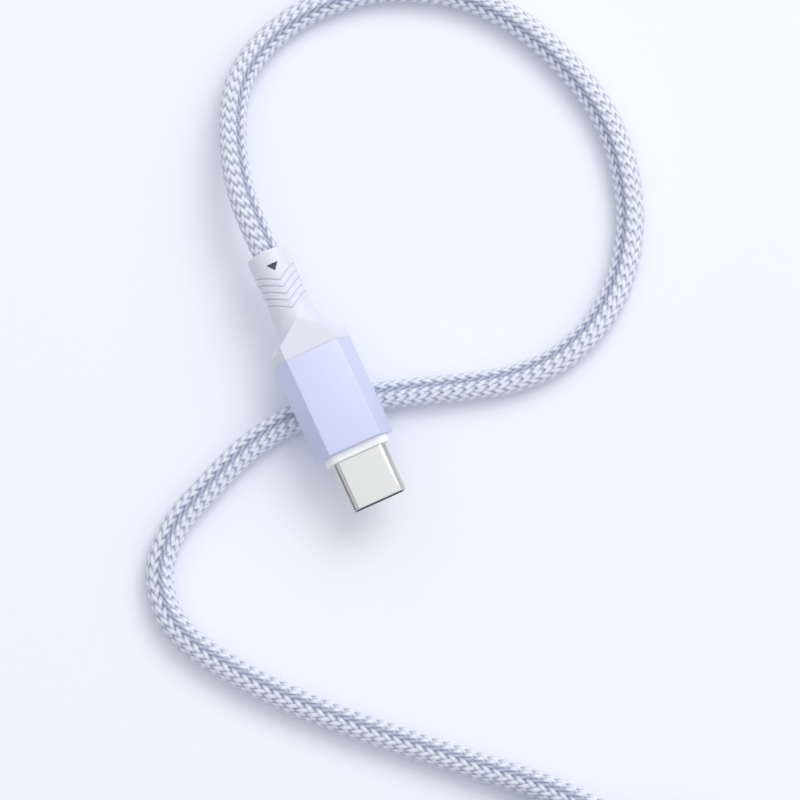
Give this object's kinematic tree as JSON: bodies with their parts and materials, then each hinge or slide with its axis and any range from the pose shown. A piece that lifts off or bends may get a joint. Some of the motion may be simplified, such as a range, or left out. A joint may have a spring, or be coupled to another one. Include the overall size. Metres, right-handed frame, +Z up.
{
  "type": "USB-C cable",
  "caption": "Braided USB-C charging cable with hexagonal metal plug sleeves and grooved strain reliefs, the spare length tied in a coil.",
  "frame": {"origin": "centre of the near plug, half way from its mouth to its strain relief's rim", "axes": "+X out of the near plug's mouth, +Z up from the surface that the cable lies on"},
  "size_m": [0.1807, 0.0958, 0.0166],
  "materials": {
    "steel": "bright drawn steel",
    "spring_steel": "satin",
    "contact_gold": "gold plated",
    "black_plastic": "satin",
    "green_board": "solder mask",
    "copper": "satin copper",
    "red_sheath": "satin",
    "black_sheath": "satin",
    "blue_sheath": "satin",
    "green_sheath": "satin",
    "white_sheath": "satin",
    "grey_core": "matt",
    "milky_mould": "milky",
    "white_plastic": "satin",
    "lavender_metal": "satin anodised",
    "braid": "woven, white and blue-grey",
    "strap": "woven"
  },
  "bodies": {
    "cable": {"near_plug_shell": "steel", "near_contact_housing": "black_plastic", "near_upper_contact_wafer": "contact_gold", "near_lower_contact_wafer": "contact_gold", "near_upper_ground_spring": "spring_steel", "near_lower_ground_spring": "spring_steel", "near_paddle_card": "green_board", "near_upper_shield_can": "spring_steel", "near_lower_shield_can": "spring_steel", "near_vbus_wire": "red_sheath", "near_ground_wire": "black_sheath", "near_cc_wire": "blue_sheath", "near_data_plus_wire": "green_sheath", "near_data_minus_wire": "white_sheath", "near_crimp_ferrule": "copper", "near_core_end": "grey_core", "near_inner_mould": "milky_mould", "near_collar": "white_plastic", "near_sleeve": "lavender_metal", "near_strain_relief": "white_plastic", "far_plug_shell": "steel", "far_contact_housing": "black_plastic", "far_upper_contact_wafer": "contact_gold", "far_lower_contact_wafer": "contact_gold", "far_upper_ground_spring": "spring_steel", "far_lower_ground_spring": "spring_steel", "far_paddle_card": "green_board", "far_upper_shield_can": "spring_steel", "far_lower_shield_can": "spring_steel", "far_vbus_wire": "red_sheath", "far_ground_wire": "black_sheath", "far_cc_wire": "blue_sheath", "far_data_plus_wire": "green_sheath", "far_data_minus_wire": "white_sheath", "far_crimp_ferrule": "copper", "far_core_end": "grey_core", "far_inner_mould": "milky_mould", "far_collar": "white_plastic", "far_sleeve": "lavender_metal", "far_strain_relief": "white_plastic", "cord_main": "braid", "cord_coil": "braid", "cord_tail": "braid", "coil_tie": "strap"},
    "near_left_latch": {"near_left_latch": "spring_steel"},
    "near_right_latch": {"near_right_latch": "spring_steel"},
    "far_left_latch": {"far_left_latch": "spring_steel"},
    "far_right_latch": {"far_right_latch": "spring_steel"}
  },
  "joints": [
    {"name": "near_left_latch_flex", "type": "hinge", "parent": "cable", "child": "near_left_latch", "pos_m": [0.01188, 0.00306, 0], "axis": [0, 0, 1], "range_deg": [0, 2], "stiffness_Nm_per_rad": 0.66},
    {"name": "near_right_latch_flex", "type": "hinge", "parent": "cable", "child": "near_right_latch", "pos_m": [0.01188, -0.00306, 0], "axis": [0, 0, -1], "range_deg": [0, 2], "stiffness_Nm_per_rad": 0.66},
    {"name": "far_left_latch_flex", "type": "hinge", "parent": "cable", "child": "far_left_latch", "pos_m": [0.10521, -0.0327, 0.00587], "axis": [0.0202, 0.0166, 0.9997], "range_deg": [0, 2], "stiffness_Nm_per_rad": 0.66},
    {"name": "far_right_latch_flex", "type": "hinge", "parent": "cable", "child": "far_right_latch", "pos_m": [0.09948, -0.03054, 0.00595], "axis": [-0.0202, -0.0166, -0.9997], "range_deg": [0, 2], "stiffness_Nm_per_rad": 0.66}
  ]
}
